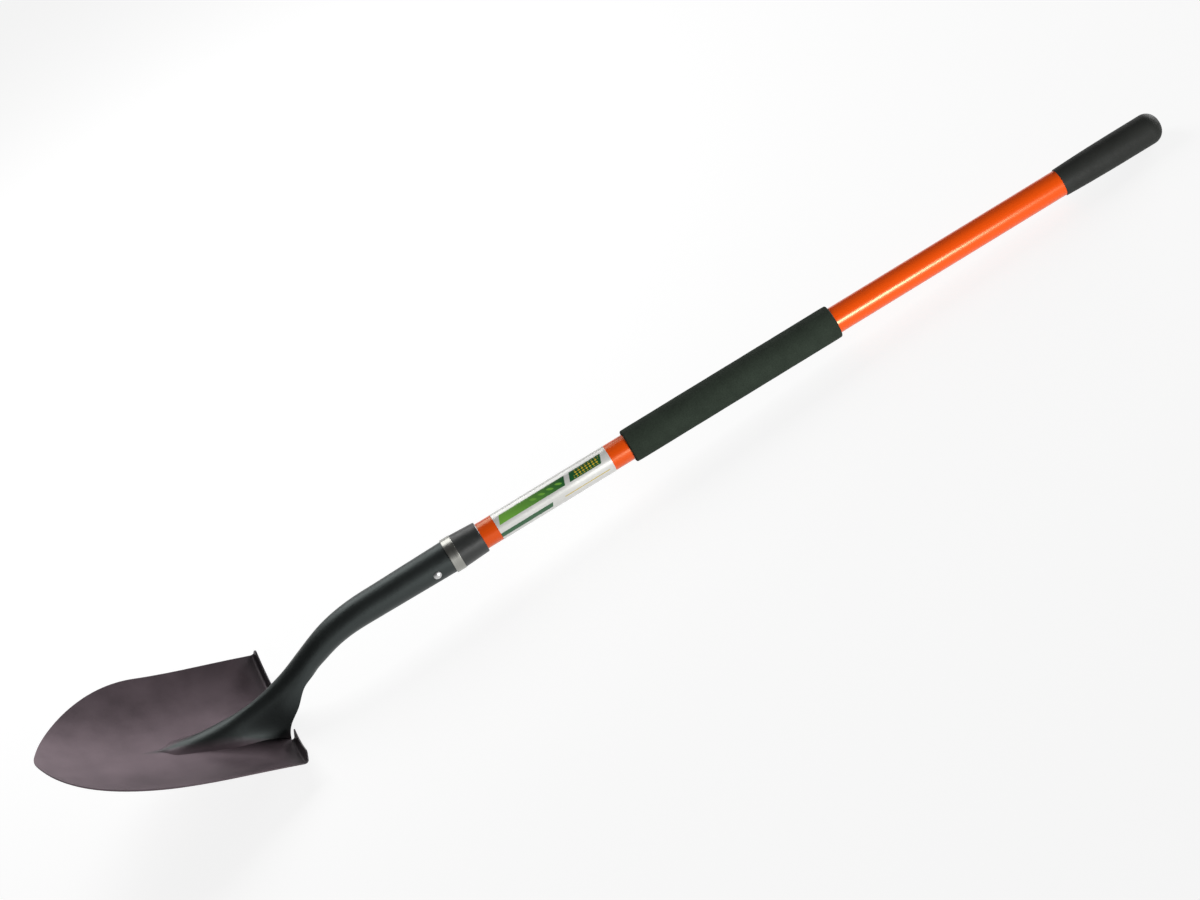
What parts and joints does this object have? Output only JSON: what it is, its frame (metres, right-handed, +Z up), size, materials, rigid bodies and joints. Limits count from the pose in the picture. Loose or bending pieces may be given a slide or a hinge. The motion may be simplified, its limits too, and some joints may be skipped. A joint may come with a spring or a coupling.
{
  "type": "round-point shovel",
  "caption": "Long-handled round-point shovel: a dished steel blade with turned treads and a cranked socket, riveted to a tubular handle with foam and rubber grips.",
  "frame": {"origin": "middle of the bounding box, on the ground that the shovel lies on", "axes": "+X from the blade's point to the handle's end, +Y across the blade, +Z up from the ground; the blade lies hollow side up"},
  "size_m": [1.4728, 0.2196, 0.1559],
  "materials": {
    "head_paint": "satin dark grey paint on pressed steel",
    "bright_band": "polished",
    "collar_plastic": "satin black",
    "rivet_steel": "plated",
    "handle_resin": "gloss orange fibreglass",
    "core_wood": "bare hardwood, hidden",
    "label_film": "printed film",
    "grip_foam": "matte closed-cell foam",
    "grip_rubber": "smooth matte rubber"
  },
  "bodies": {
    "root": {"shovel_head": "head_paint", "socket_band": "bright_band", "collar_bush": "collar_plastic", "socket_rivet": "rivet_steel", "handle_tube": "handle_resin", "core_plug": "core_wood", "label_sleeve": "label_film", "foam_grip": "grip_foam", "end_grip": "grip_rubber"}
  },
  "joints": []
}
